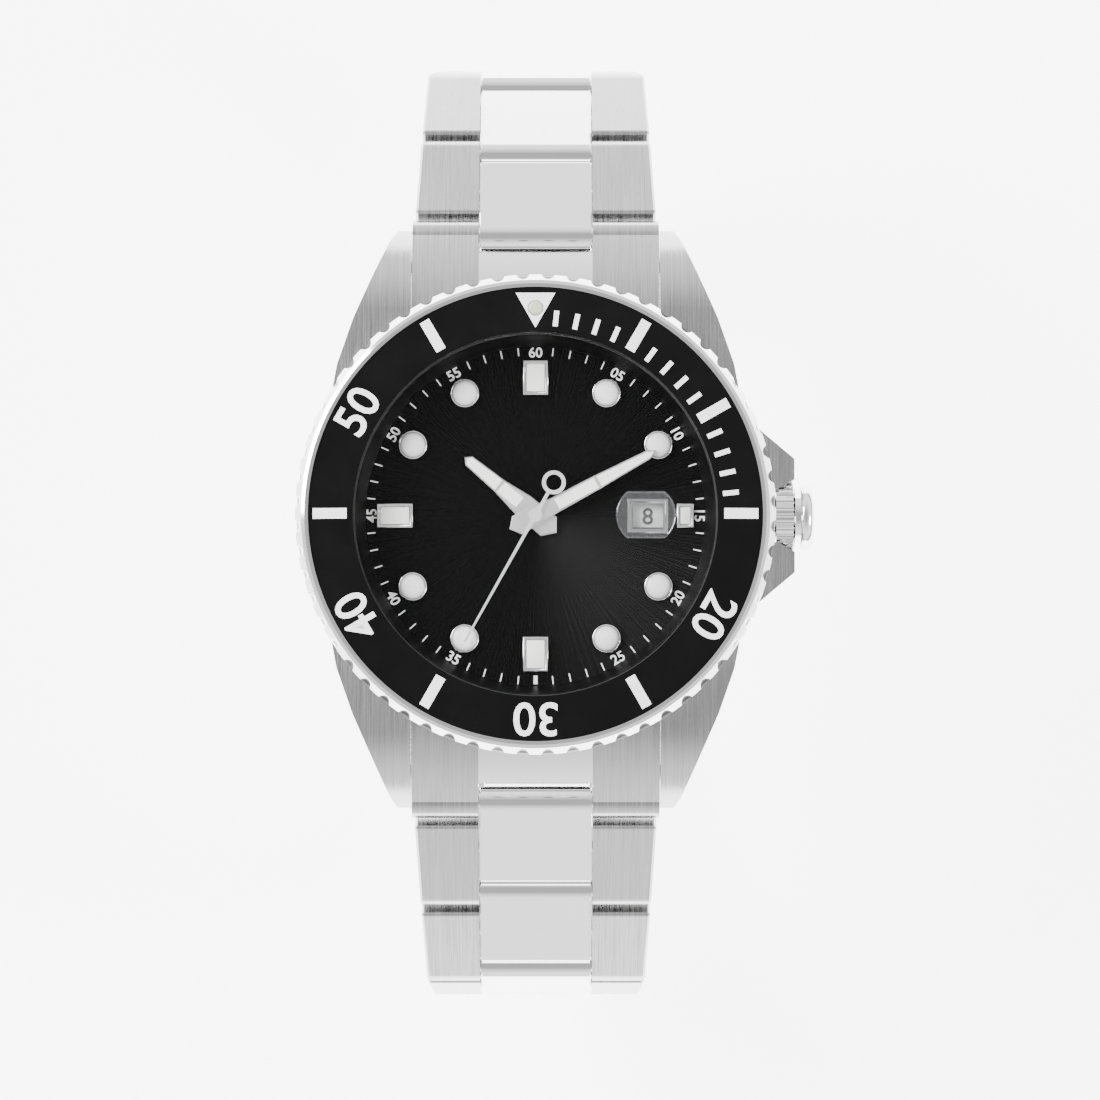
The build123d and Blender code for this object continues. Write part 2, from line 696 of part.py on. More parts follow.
with BuildPart() as spring_bars:
    for place in (bar_y, -bar_y):
        with BuildSketch(Plane.YZ):
            with Locations((place, bar_z)):
                Circle(bar_r)
        extrude(amount=lug_gap / 2 - side_gap - 0.1, both=True)
        with BuildSketch(Plane.YZ):
            with Locations((place, bar_z)):
                Circle(bar_tip_r)
        extrude(amount=lug_gap / 2 + bar_tip, both=True)
save(spring_bars, "spring_bars")


def bracelet_row(number, way):
    y, z = pivots[number]
    plane = chain_plane(way * y, z, row_angles[number], way)
    wide = row_widths[number]
    next_wide = (row_widths + [clasp_join_w])[number + 1]
    last = number == len(row_angles) - 1
    open_end = last and way < 0
    ear_in = centre_w / 2 + side_gap
    front = link_r + end_gap
    with BuildPart() as outer:
        with BuildSketch(plane.offset(ear_in)):
            with BuildLine():
                Polyline((pitch, link_r), (front, link_r), (front, -link_r), (pitch, -link_r))
                CenterArc((pitch, 0), link_r, -90, 180)
            make_face()
            fillet(vertices().group_by(Axis.X)[0], link_round)
        extrude(amount=wide / 2 - ear_in + 1)
        # the row narrows towards the clasp
        fall = degrees(atan2((wide - next_wide) / 2, pitch))
        tilt = Plane(origin=plane.origin + plane.z_dir * (wide / 2), x_dir=plane.y_dir,
                     z_dir=plane.z_dir * cos(radians(fall)) + plane.x_dir * sin(radians(fall)))
        split(bisect_by=tilt, keep=Keep.BOTTOM)
        chamfer(faces().sort_by(Axis(plane.origin, plane.z_dir))[-1].edges(), 0.2)
        with BuildSketch(plane):
            with Locations((pitch, 0), (pitch / 2, 0)):
                Circle(pin_r)
        extrude(amount=next_wide / 2 - 0.9, mode=Mode.SUBTRACT)
        mirror(about=Plane.YZ)
    with BuildPart() as centre:
        with BuildSketch(plane):
            with BuildLine():
                Polyline((0, link_r), (pitch - front, link_r), (pitch - front, -link_r), (0, -link_r))
                CenterArc((0, 0), link_r, 90, 180)
            make_face()
            fillet(vertices().group_by(Axis.X)[-1], link_round)
        extrude(amount=centre_w / 2, both=True)
        chamfer(faces().sort_by(Axis.X)[-1].edges(), 0.12)
        chamfer(faces().sort_by(Axis.X)[0].edges(), 0.12)
        with BuildSketch(plane):
            Circle(pin_r + run_gap)
            with Locations((pitch / 2, 0)):
                Circle(pin_r)
        extrude(amount=centre_w, both=True, mode=Mode.SUBTRACT)
    with BuildPart() as pins:
        with BuildSketch(plane):
            with Locations((pitch / 2, 0)):
                Circle(pin_r)
        extrude(amount=next_wide / 2 - 0.9, both=True)
        with BuildSketch(plane):
            with Locations((pitch, 0)):
                Circle(pin_r)
        extrude(amount=next_wide / 2 - 0.9, both=True)
        if open_end:
            with BuildSketch(plane.offset(-ear_in)):
                with Locations((pitch, 0)):
                    Circle(pin_r + 1)
            extrude(amount=2 * ear_in, mode=Mode.SUBTRACT)
    row = Compound(children=[outer.part, centre.part, pins.part])
    return row


for way, clock in ((1, "12"), (-1, "6")):
    for number in range(len(row_angles)):
        row = bracelet_row(number, way)
        row.label = f"row_{clock}_{number + 1}"
        export_step(row, f"parts/{row.label}.step")

# ---- clasp ----
clasp_y, clasp_z = pivots[-1]
clasp_half = degrees(asin(clasp_y / clasp_r))        # half the angle that the clasp spans
hub_z = clasp_z + sqrt(clasp_r ** 2 - clasp_y ** 2)  # centre of the clasp's curve
step = degrees(1 / clasp_r)                          # one millimetre along the curve


def band(r_in, r_out, start, end):
    # A curved strip in the YZ plane, from one angle to another, counted from straight down towards 12.
    with BuildLine() as strip:
        inner = CenterArc((0, hub_z), r_in, start - 90, end - start)
        outer = CenterArc((0, hub_z), r_out, start - 90, end - start)
        Line(inner @ 0, outer @ 0)
        Line(inner @ 1, outer @ 1)
    make_face(strip.edges())


def on_curve(radius, angle):
    return (radius * sin(radians(angle)), hub_z - radius * cos(radians(angle)))


front = link_r + end_gap
cover_out = clasp_r + link_r + 0.8
cover_in = cover_out - cover_t
mouth = -clasp_half + (link_r + 0.3) * step
join = clasp_half - front * step
hinge_6 = -clasp_half + 3.4 * step
hinge_12 = join - 6.0 * step
outer_blade_r = clasp_r + 0.45        # mid radius of the blade next to the cover
inner_blade_r = clasp_r - 1.0
hinge_6_spot = on_curve(clasp_r + 0.35, hinge_6)
hinge_12_spot = on_curve(clasp_r - 0.3, hinge_12)
button_at = hinge_12 - 1.0 * step
button_spot = on_curve(clasp_r - 0.1, button_at)
cover_wall = (clasp_w - blade_w) / 2 - 0.2

with BuildPart() as clasp_cover:
    with BuildSketch(Plane.YZ):
        band(clasp_r - 1.6, cover_out, mouth, join)
    extrude(amount=clasp_w / 2, both=True)
    fillet(edges().filter_by(Axis.X).group_by(Axis((0, 0, 0), (0, 0, 1)))[0], 0.4)
    chamfer(faces().sort_by(Axis.X)[-1].edges(), 0.3)
    chamfer(faces().sort_by(Axis.X)[0].edges(), 0.3)
    with BuildSketch(Plane.YZ):
        band(clasp_r - 3, cover_in, mouth - 2, join - 3.5 * step)
    extrude(amount=clasp_w / 2 - cover_wall, both=True, mode=Mode.SUBTRACT)
    with BuildSketch(Plane.YZ):
        band(clasp_r - 3, cover_out + 2, mouth - 2, hinge_6 + 1.2 * step)
    extrude(amount=centre_w / 2 + 0.3, both=True, mode=Mode.SUBTRACT)
    # tongue for the last row at 12 o'clock
    with BuildSketch(Plane.YZ):
        with Locations((clasp_y, clasp_z)):
            Circle(link_r)
        band(clasp_r - link_r, clasp_r + link_r, join - step, clasp_half)
    extrude(amount=centre_w / 2, both=True)
    with BuildSketch(Plane.YZ):
        with Locations((clasp_y, clasp_z)):
            Circle(pin_r + run_gap)
    extrude(amount=centre_w, both=True, mode=Mode.SUBTRACT)
    # hinge pin's holes, and the windows for the push buttons
    with BuildSketch(Plane.YZ):
        with Locations(hinge_6_spot):
            Circle(hinge_pin_r)
    extrude(amount=clasp_w / 2 - 0.5, both=True, mode=Mode.SUBTRACT)
    with BuildSketch(Plane.YZ):
        with Locations(button_spot):
            Circle(1.15)
    extrude(amount=clasp_w, both=True, mode=Mode.SUBTRACT)
save(clasp_cover, "clasp_cover")

with BuildPart() as clasp_pin:
    with BuildSketch(Plane.YZ):
        with Locations(hinge_6_spot):
            Circle(hinge_pin_r)
    extrude(amount=clasp_w / 2 - 0.5, both=True)
save(clasp_pin, "clasp_pin")

finger = 3.0          # half width of the inner blade's knuckle
knuckle_room = (hinge_r + 0.25) * step
shoulder = hinge_6 + step     # from here to the bracelet the inner blade is only as wide as a centre link
with BuildPart() as clasp_blade_outer:
    with BuildSketch(Plane.YZ):
        band(outer_blade_r - blade_t / 2, outer_blade_r + blade_t / 2, hinge_6, hinge_12)
        with Locations(hinge_6_spot, hinge_12_spot):
            Circle(hinge_r)
    extrude(amount=blade_w / 2, both=True)
    with BuildSketch(Plane.YZ):
        band(clasp_r - 3, clasp_r + 3, hinge_12 - knuckle_room, hinge_12 + 3 * step)
    extrude(amount=finger + 0.15, both=True, mode=Mode.SUBTRACT)
    with BuildSketch(Plane.YZ):
        with Locations(hinge_6_spot):
            Circle(hinge_pin_r + run_gap)
        with Locations(hinge_12_spot):
            Circle(hinge_pin_r)
    extrude(amount=blade_w, both=True, mode=Mode.SUBTRACT)
    # the pin of the folding hinge stays in the outer blade
    with BuildSketch(Plane.YZ):
        with Locations(hinge_12_spot):
            Circle(hinge_pin_r)
    extrude(amount=blade_w / 2, both=True)
save(clasp_blade_outer, "clasp_blade_outer")

with BuildPart() as clasp_blade_inner:
    with BuildSketch(Plane.YZ):
        band(inner_blade_r - blade_t / 2, inner_blade_r + blade_t / 2, shoulder, hinge_12 - knuckle_room)
    extrude(amount=blade_w / 2, both=True)
    with BuildSketch(Plane.YZ):
        band(inner_blade_r - blade_t / 2, inner_blade_r + blade_t / 2, hinge_12 - 2 * knuckle_room, hinge_12)
        with Locations(hinge_12_spot):
            Circle(hinge_r)
    extrude(amount=finger, both=True)
    with BuildSketch(Plane.YZ):
        with Locations((-clasp_y, clasp_z)):
            Circle(link_r - 0.2)
        band(inner_blade_r - blade_t / 2, inner_blade_r + blade_t / 2, -clasp_half, shoulder + step)
    extrude(amount=centre_w / 2, both=True)
    with BuildSketch(Plane.YZ):
        with Locations(hinge_12_spot):
            Circle(hinge_pin_r + run_gap)
    extrude(amount=blade_w, both=True, mode=Mode.SUBTRACT)
save(clasp_blade_inner, "clasp_blade_inner")

for way, name in ((1, "clasp_button_right"), (-1, "clasp_button_left")):
    inside = blade_w / 2 + 0.1 + button_travel     # pressed in, the button just clears the blades
    with BuildPart() as clasp_button:
        with BuildSketch(Plane(origin=(way * inside, 0, 0), x_dir=(0, 1, 0), z_dir=(1, 0, 0))):
            with Locations(button_spot):
                Circle(1.1)
        extrude(amount=way * (clasp_w / 2 + button_travel + 0.1 - inside))
        chamfer(edges().sort_by(Axis.X)[-1 if way > 0 else 0], 0.2)
    save(clasp_button, name)
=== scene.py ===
import math

import bmesh
import bpy
from mathutils import Matrix, Vector


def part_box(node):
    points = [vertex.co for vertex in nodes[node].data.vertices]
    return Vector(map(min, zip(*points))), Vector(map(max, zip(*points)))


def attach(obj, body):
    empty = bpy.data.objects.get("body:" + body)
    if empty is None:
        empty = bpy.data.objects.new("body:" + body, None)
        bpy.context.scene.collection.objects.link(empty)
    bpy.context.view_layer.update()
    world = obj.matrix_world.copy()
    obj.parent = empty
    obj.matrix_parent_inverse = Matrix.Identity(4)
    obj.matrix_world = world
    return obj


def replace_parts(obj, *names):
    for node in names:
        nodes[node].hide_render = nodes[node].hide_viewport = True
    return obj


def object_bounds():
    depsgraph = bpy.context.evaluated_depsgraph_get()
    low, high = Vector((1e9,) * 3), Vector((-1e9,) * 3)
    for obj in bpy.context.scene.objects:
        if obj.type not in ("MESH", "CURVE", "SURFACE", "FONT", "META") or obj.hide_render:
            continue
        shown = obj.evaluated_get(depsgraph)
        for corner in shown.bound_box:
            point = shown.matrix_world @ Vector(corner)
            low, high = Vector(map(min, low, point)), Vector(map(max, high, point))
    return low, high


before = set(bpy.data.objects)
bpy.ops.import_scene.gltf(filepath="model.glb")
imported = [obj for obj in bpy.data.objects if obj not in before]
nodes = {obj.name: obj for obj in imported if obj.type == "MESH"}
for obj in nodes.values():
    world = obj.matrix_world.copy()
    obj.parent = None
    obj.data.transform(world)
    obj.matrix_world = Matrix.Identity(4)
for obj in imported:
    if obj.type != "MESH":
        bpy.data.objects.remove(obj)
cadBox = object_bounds()
mm = 0.001
print("frame loaded")


class Signal:
    # a socket that takes part in plain arithmetic
    def __init__(self, wiring, socket):
        self.wiring = wiring
        self.socket = socket

    def __add__(self, other):
        return self.wiring.maths("ADD", self, other)

    def __radd__(self, other):
        return self.wiring.maths("ADD", other, self)

    def __sub__(self, other):
        return self.wiring.maths("SUBTRACT", self, other)

    def __rsub__(self, other):
        return self.wiring.maths("SUBTRACT", other, self)

    def __mul__(self, other):
        return self.wiring.maths("MULTIPLY", self, other)

    def __rmul__(self, other):
        return self.wiring.maths("MULTIPLY", other, self)

    def __gt__(self, other):
        return self.wiring.maths("GREATER_THAN", self, other)

    def __lt__(self, other):
        return self.wiring.maths("LESS_THAN", self, other)

    def __pow__(self, other):
        return self.wiring.maths("POWER", self, other)

    def __abs__(self):
        return self.wiring.maths("ABSOLUTE", self)


class Wiring:
    # the nodes of one material, or of the world, that feed its shader
    def __init__(self, tree, shader):
        self.tree = tree
        self.shader = tree.nodes[shader]

    def add(self, kind, settings, values, out=0):
        node = self.tree.nodes.new(kind)
        for key, value in settings.items():
            if key == "stops":
                self.setStops(node.color_ramp, value)
            else:
                setattr(node, key, value)
        for key, value in values.items():
            if isinstance(value, Signal):
                self.tree.links.new(value.socket, node.inputs[key])
            else:
                node.inputs[key].default_value = value
        return Signal(self, node.outputs[out])

    def setStops(self, ramp, stops):
        while len(ramp.elements) < len(stops):
            ramp.elements.new(1.0)
        for element, (spot, shade) in zip(ramp.elements, stops):
            colour = shade if isinstance(shade, tuple) else (shade, shade, shade)
            element.position = spot
            element.color = (*colour, 1)

    def feed(self, socket, signal):
        self.tree.links.new(signal.socket, self.shader.inputs[socket])

    def maths(self, operation, first, second=0.0):
        return self.add("ShaderNodeMath", {"operation": operation}, {0: first, 1: second})

    def split(self, vector):
        first = self.add("ShaderNodeSeparateXYZ", {}, {0: vector})
        return [Signal(self, output) for output in first.socket.node.outputs]


class Finish(Wiring):
    # one material; the named arguments are constants on its shader's own sockets
    def __init__(self, name, **fixed):
        self.material = bpy.data.materials.new(name)
        self.material.use_nodes = True
        super().__init__(self.material.node_tree, "Principled BSDF")
        for socket, value in fixed.items():
            self.shader.inputs[socket.replace("_", " ")].default_value = value
        self.place = self.add("ShaderNodeTexCoord", {}, {}, "Object")

    def noise(self, scale, detail=2.0, roughness=0.5, stretch=(1, 1, 1)):
        where = self.add("ShaderNodeMapping", {}, {"Vector": self.place, "Scale": stretch})
        return self.add("ShaderNodeTexNoise", {},
                        {"Vector": where, "Scale": scale, "Detail": detail, "Roughness": roughness})

    def streaks(self, across, scale, detail, roughness=0.5):
        return self.add("ShaderNodeTexNoise", {"noise_dimensions": "1D"},
                        {"W": across, "Scale": scale, "Detail": detail, "Roughness": roughness})

    def span(self, signal, low, high, lowest=0.0, highest=1.0):
        return self.add("ShaderNodeMapRange", {}, {0: signal, 1: lowest, 2: highest, 3: low, 4: high})

    def ease(self, noise, low, high, start=0.3):
        # most of a noise lies within 0.4, and that part is spread from low to high
        return self.span(noise, low, high, start, start + 0.4)

    def ramp(self, signal, low, high):
        return self.add("ShaderNodeValToRGB", {"stops": [(0.0, low), (1.0, high)]}, {0: signal})

    def blend(self, factor, first, second):
        return self.add("ShaderNodeMix", {"data_type": "RGBA"}, {0: factor, 6: first, 7: second}, 2)

    def bump(self, height, strength, depth):
        values = {"Height": height, "Strength": strength, "Distance": depth * mm}
        self.feed("Normal", self.add("ShaderNodeBump", {}, values, "Normal"))


brushed = {"lines": 8200, "rough": 0.2, "roughMost": 0.36, "grey": 0.47, "greySpread": 0.07,
           "lineShare": 0.7, "broad": 160, "smudge": 420, "polishRough": 0.05, "polishRoughMost": 0.1,
           "polishGrey": 0.95, "polishSpread": 0.03, "smudgeHeight": 0.03, "strength": 0.25, "depth": 0.02}


def brushedAndPolished(name, runLength, centreHalf=0.0, sidePolish=0.0):
    # brushed along Y, with a polished strip at the centre and polished flanks where asked
    made = Finish(name, Metallic=1.0)
    x = made.split(made.place)[0]
    lines = made.noise(1.0, 3.0, 0.65, (brushed["lines"], runLength, runLength))
    broad = made.noise(brushed["broad"], 2.0)
    smudge = made.noise(brushed["smudge"], 3.0)
    polished = abs(x) < centreHalf * mm
    if sidePolish:
        facing = made.add("ShaderNodeNewGeometry", {}, {}, "True Normal")
        flank = abs(made.split(facing)[0]) > sidePolish
        polished = made.maths("MAXIMUM", polished, flank)
    brushRough = made.ease(lines, brushed["rough"], brushed["roughMost"])
    polishRough = made.ease(smudge, brushed["polishRough"], brushed["polishRoughMost"], 0.35)
    made.feed("Roughness", brushRough * (1 - polished) + polishRough * polished)
    grain = made.ease(lines, 0, 1) * brushed["lineShare"] + broad * (1 - brushed["lineShare"])
    satin = made.ramp(grain, brushed["grey"] - brushed["greySpread"], brushed["grey"] + brushed["greySpread"])
    shine = made.ramp(smudge, brushed["polishGrey"] - brushed["polishSpread"],
                      brushed["polishGrey"] + brushed["polishSpread"])
    made.feed("Base Color", made.blend(polished, satin, shine))
    made.bump(lines * (1 - polished) + smudge * polished * brushed["smudgeHeight"],
              brushed["strength"], brushed["depth"])
    return made.material


polish = {"smudge": 380, "scratches": (2600, 190, 2600), "roughSpread": 0.05, "darker": 0.04, "lighter": 0.03,
          "strength": 0.06, "depth": 0.01}


def polishedSteel(name, grey, rough):
    made = Finish(name, Metallic=1.0)
    smudge = made.noise(polish["smudge"], 4.0)
    scratches = made.noise(1.0, 2.0, 0.6, polish["scratches"])
    made.feed("Roughness", made.ease(smudge, rough, rough + polish["roughSpread"], 0.35))
    made.feed("Base Color", made.ramp(smudge, grey - polish["darker"], grey + polish["lighter"]))
    made.bump(scratches, polish["strength"], polish["depth"])
    return made.material


bezelEdge = {"crest": 21.0, "crestBlend": 0.12, "recess": 10.5, "recessBlend": 0.35, "smudge": 380,
             "recessShade": (0.02, 0.05), "dullRough": (0.3, 0.4), "bright": (0.86, 0.94), "brightRough": 0.07}


def bezelSteel(name):
    # polished crests; low between them the recess is rougher, and its near-black colour there is painted
    # shade
    made = Finish(name, Metallic=1.0)
    x, y, z = made.split(made.place)
    smudge = made.noise(bezelEdge["smudge"], 4.0)
    reach = (x * x + y * y) ** 0.5
    crest, recess = bezelEdge["crest"], bezelEdge["recess"]
    inside = made.span(reach, 1.0, 0.0, (crest - bezelEdge["crestBlend"]) * mm, crest * mm)
    under = made.span(z, 1.0, 0.0, (recess - bezelEdge["recessBlend"]) * mm, recess * mm)
    polished = 1 - inside * under
    dullRough = made.ease(smudge, *bezelEdge["dullRough"])
    made.feed("Roughness", dullRough * (1 - polished) + polished * bezelEdge["brightRough"])
    # painted shade: the recess's colour is near black, far darker than the crests' steel
    recessShade = made.ramp(smudge, *bezelEdge["recessShade"])
    made.feed("Base Color", made.blend(polished, recessShade, made.ramp(smudge, *bezelEdge["bright"])))
    made.bump(smudge, 0.04, 0.01)
    return made.material


lathe = {"rings": 9000, "blotch": 300, "smoother": 0.06, "rougher": 0.08, "spread": 0.06, "shadow": 0.85,
         "strength": 0.25, "depth": 0.01}


def turnedMetal(name, rough, grey=None, gold=None):
    # fine turning rings about the watch's axis
    made = Finish(name, Metallic=1.0)
    x, y, z = made.split(made.place)
    rings = made.streaks((x * x + y * y) ** 0.5, lathe["rings"], 2.0)
    blotch = made.noise(lathe["blotch"], 2.0)
    made.feed("Roughness", made.ease(rings, rough - lathe["smoother"], rough + lathe["rougher"]))
    if gold:
        low, high = tuple(part * lathe["shadow"] for part in gold), gold
    else:
        low, high = grey - lathe["spread"], grey + lathe["spread"]
    made.feed("Base Color", made.ramp(blotch * 0.5 + rings * 0.5, low, high))
    made.bump(rings, lathe["strength"], lathe["depth"])
    return made.material


sunburst = {"rays": 70, "litTurn": 0.7, "litFrom": 0.55, "litPower": 1.5, "dark": (0.001, 0.003),
            "lit": (0.006, 0.016), "rough": (0.22, 0.32), "strength": 0.12, "depth": 0.01}


def dialBlack(name):
    # black lacquer over a sunburst that was brushed outwards from the centre; the colour is lighter towards
    # one side of the dial as a painted highlight
    made = Finish(name, Metallic=0.3, Specular_IOR_Level=0.15)
    x, y, z = made.split(made.place)
    turn = made.maths("ARCTAN2", y, x)
    rays = made.streaks(turn, sunburst["rays"], 5.0, 0.7)
    # painted highlight: the colour is lighter towards one side of the dial, set by litTurn
    sweep = made.maths("COSINE", turn + sunburst["litTurn"])
    lit = made.span(sweep, 0.0, 1.0, sunburst["litFrom"], 1.0) ** sunburst["litPower"]
    dark = made.ramp(rays, *sunburst["dark"])
    made.feed("Base Color", made.blend(lit, dark, made.ramp(rays, *sunburst["lit"])))
    made.feed("Roughness", made.ease(rays, *sunburst["rough"]))
    made.bump(rays, sunburst["strength"], sunburst["depth"])
    return made.material


def insertGloss(name):
    made = Finish(name, Specular_IOR_Level=0.13)
    haze = made.noise(260, 4.0)
    grain = made.noise(5200, 1.0)
    made.feed("Base Color", made.ramp(haze, 0.0021, 0.0045))
    made.feed("Roughness", made.ease(haze, 0.07, 0.15))
    made.bump(grain, 0.03, 0.01)
    return made.material


def satinBlack(name):
    made = Finish(name, Specular_IOR_Level=0.15)
    haze = made.noise(900, 3.0)
    made.feed("Base Color", made.ramp(haze, 0.001, 0.003))
    made.feed("Roughness", made.ease(haze, 0.28, 0.4))
    made.bump(haze, 0.05, 0.01)
    return made.material


lumeGrain = {"grain": 7000, "cloud": 900, "grainShare": 0.4, "shadow": 0.93, "smoother": 0.08, "rougher": 0.1,
             "strength": 0.12, "depth": 0.01}


def lumePaint(name, shade, rough):
    # fine chalky grains of luminous paint
    made = Finish(name)
    grain = made.noise(lumeGrain["grain"], 2.0)
    cloud = made.noise(lumeGrain["cloud"], 2.0)
    low = tuple(part * lumeGrain["shadow"] for part in shade)
    mottle = grain * lumeGrain["grainShare"] + cloud * (1 - lumeGrain["grainShare"])
    made.feed("Base Color", made.ramp(mottle, low, shade))
    made.feed("Roughness", made.ease(grain, rough - lumeGrain["smoother"], rough + lumeGrain["rougher"]))
    made.bump(grain, lumeGrain["strength"], lumeGrain["depth"])
    return made.material


# the dome's colour runs from dark at its rim to light at its top: painted shade
dome = {"low": 7.7, "high": 7.98, "fall": 0.6, "rimShade": 0.1, "crown": 0.86, "rough": (0.22, 0.34)}


def domedLume(name):
    # luminous paint poured into a cup; its colour is darkened from the dome's top to its rim as painted shade
    made = Finish(name)
    z = made.split(made.place)[2]
    grain = made.noise(lumeGrain["grain"], 2.0)
    # deep is the height on the dome, 0 at its foot and 1 at its top; the colour ramp on it is painted shade,
    # darker towards the rim
    deep = made.span(z, 0.0, 1.0, dome["low"] * mm, dome["high"] * mm) ** dome["fall"]
    made.feed("Base Color", made.ramp(deep * 0.9 + grain * 0.1, dome["rimShade"], dome["crown"]))
    made.feed("Roughness", made.ease(grain, *dome["rough"]))
    made.bump(grain, 0.06, 0.01)
    return made.material


def printInk(name, grey):
    made = Finish(name)
    grain = made.noise(6000, 2.0)
    made.feed("Base Color", made.ramp(grain, grey * 0.94, grey))
    made.feed("Roughness", made.ease(grain, 0.35, 0.5))
    made.bump(grain, 0.05, 0.005)
    return made.material


def sapphire(name, clear, edge):
    # clear sapphire: nearly nothing head on, more of a sheen at a glancing angle
    made = Finish(name, Metallic=1.0)
    glance = made.add("ShaderNodeLayerWeight", {}, {"Blend": 0.25}, "Facing")
    smear = made.noise(120, 3.0)
    made.feed("Alpha", made.span(glance, clear, edge, 0.25, 1.0))
    made.feed("Roughness", made.ease(smear, 0.01, 0.035))
    made.feed("Base Color", made.ramp(smear, (0.9, 0.93, 0.96), (0.96, 0.98, 1.0)))
    return made.material


def rubberBlack(name):
    made = Finish(name)
    grain = made.noise(3000, 3.0)
    made.feed("Base Color", made.ramp(grain, 0.012, 0.03))
    made.feed("Roughness", made.ease(grain, 0.65, 0.85))
    made.bump(grain, 0.2, 0.02)
    return made.material


# finishes for the CAD nodes
rowNames = [f"row_{side}_{n}" for side in ("12", "6") for n in range(1, 7)]
lumeWhite = lumePaint("lumeWhite", (0.86, 0.87, 0.84), 0.5)
dotLume = domedLume("dotLume")
frameSteel = polishedSteel("frameSteel", 0.8, 0.12)
inkWhite = printInk("inkWhite", 0.93)
inkBlack = printInk("inkBlack", 0.006)
finishes = {
    brushedAndPolished("rowSteel", 130, centreHalf=5.04, sidePolish=0.9):
        ["end_link_12", "end_link_6"] + rowNames,
    brushedAndPolished("caseSteel", 110, sidePolish=0.55): ["mid_case"],
    brushedAndPolished("claspSteel", 120, sidePolish=0.9): ["clasp_cover"],
    bezelSteel("ringSteel"): ["bezel_ring"],
    polishedSteel("mirrorSteel", 0.86, 0.06):
        ["crown", "clasp_blade_outer", "clasp_blade_inner", "clasp_button_right", "clasp_button_left",
         "clasp_pin", "crown_tube", "date_frame"],
    polishedSteel("handSteel", 0.93, 0.34): ["hour_hand", "minute_hand"],
    polishedSteel("secondsSteel", 0.96, 0.4): ["seconds_hand"],
    turnedMetal("backSteel", 0.24, grey=0.62): ["case_back"],
    turnedMetal("moveSteel", 0.3, grey=0.55):
        ["main_plate", "train_bridge", "balance_cock", "escape_wheel", "pallet_fork", "rotor",
         "rotor_bearing", "winding_stem", "bezel_click_spring", "spring_bars"],
    turnedMetal("moveBrass", 0.26, gold=(0.78, 0.58, 0.28)):
        ["mainspring_barrel", "third_wheel", "fourth_wheel", "balance_wheel"],
    insertGloss("insertBlack"): ["bezel_insert"],
    dialBlack("dialFinish"): ["dial"],
    satinBlack("rehautBlack"): ["rehaut_ring", "movement_holder"],
    lumeWhite: ["hour_hand_lume", "minute_hand_lume"],
    lumePaint("pearlLume", (0.50, 0.55, 0.40), 0.25): ["bezel_pearl"],
    printInk("discWhite", 0.72): ["date_disc"],
    sapphire("crystalGlass", 0.003, 0.1): ["crystal"],
    sapphire("lensGlass", 0.13, 0.7): ["date_magnifier"],
    rubberBlack("gasketRubber"): ["crystal_gasket", "case_back_gasket", "crown_gasket"],
}
for finish, names in finishes.items():
    for name in names:
        for slot in nodes[name].material_slots:
            slot.material = finish
print("finishes set")


def turned(degrees):
    return Matrix.Rotation(math.radians(-degrees), 4, "Z")      # clockwise from 12 o'clock


def newPiece(name, bm, finish, body, smooth=False):
    bmesh.ops.remove_doubles(bm, verts=bm.verts, dist=1e-7)
    bmesh.ops.recalc_face_normals(bm, faces=bm.faces)
    mesh = bpy.data.meshes.new(name)
    bm.to_mesh(mesh)
    bm.free()
    for face in mesh.polygons:
        face.use_smooth = smooth
    mesh.materials.append(finish)
    piece = bpy.data.objects.new(name, mesh)
    bpy.context.scene.collection.objects.link(piece)
    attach(piece, body)
    return piece


def joinInto(bm, part, matrix):
    bmesh.ops.transform(part, matrix=matrix, verts=part.verts)
    mesh = bpy.data.meshes.new("part")
    part.to_mesh(mesh)
    part.free()
    bm.from_mesh(mesh)
    bpy.data.meshes.remove(mesh)


def startBlock(wide, tall, high):
    part = bmesh.new()
    bmesh.ops.create_cube(part, size=1.0)
    bmesh.ops.scale(part, vec=(wide, tall, high), verts=part.verts)
    bmesh.ops.translate(part, vec=(0, 0, high / 2), verts=part.verts)
    return part


def rounded(part, edges, offset):
    bmesh.ops.bevel(part, geom=edges, offset=offset, affect="EDGES", segments=2, profile=0.5, material=-1)


def addBlock(bm, wide, tall, high, matrix, bevel=0.0):
    part = startBlock(wide, tall, high)
    if bevel:
        rounded(part, part.edges, bevel)
    joinInto(bm, part, matrix)


def addText(bm, words, tall, matrix, bold, deep, narrow=1.0):
    # figures from the built-in font, as a closed thin solid centred on the matrix's place
    curve = bpy.data.curves.new("figures", "FONT")
    curve.body = words
    curve.align_x = "CENTER"
    curve.align_y = "CENTER"
    curve.size = tall / 0.73                # the font's figures are 0.73 of its size
    curve.offset = bold
    curve.extrude = deep / 2
    curve.resolution_u = 4
    holder = bpy.data.objects.new("figures", curve)
    mesh = bpy.data.meshes.new_from_object(holder)
    part = bmesh.new()
    part.from_mesh(mesh)
    low = [min(v.co[i] for v in part.verts) for i in range(2)]
    high = [max(v.co[i] for v in part.verts) for i in range(2)]
    shift = Vector((-(low[0] + high[0]) / 2, -(low[1] + high[1]) / 2, deep / 2))
    bmesh.ops.translate(part, vec=shift, verts=part.verts)
    scale = tall / (high[1] - low[1])
    bmesh.ops.scale(part, vec=(scale * narrow, scale, 1), verts=part.verts)
    joinInto(bm, part, matrix)
    bpy.data.objects.remove(holder)
    bpy.data.curves.remove(curve)
    bpy.data.meshes.remove(mesh)


def addSpin(bm, profile, matrix, steps=40):
    # a closed turned solid from (radius, height) points that start and end on the axis
    part = bmesh.new()
    ring = [part.verts.new((r, 0, z)) for r, z in profile]
    edges = [part.edges.new(pair) for pair in zip(ring, ring[1:])]
    bmesh.ops.spin(part, geom=ring + edges, cent=(0, 0, 0), axis=(0, 0, 1), angle=math.tau, steps=steps,
                   use_merge=True)
    bmesh.ops.remove_doubles(part, verts=part.verts, dist=1e-8)
    joinInto(bm, part, matrix)


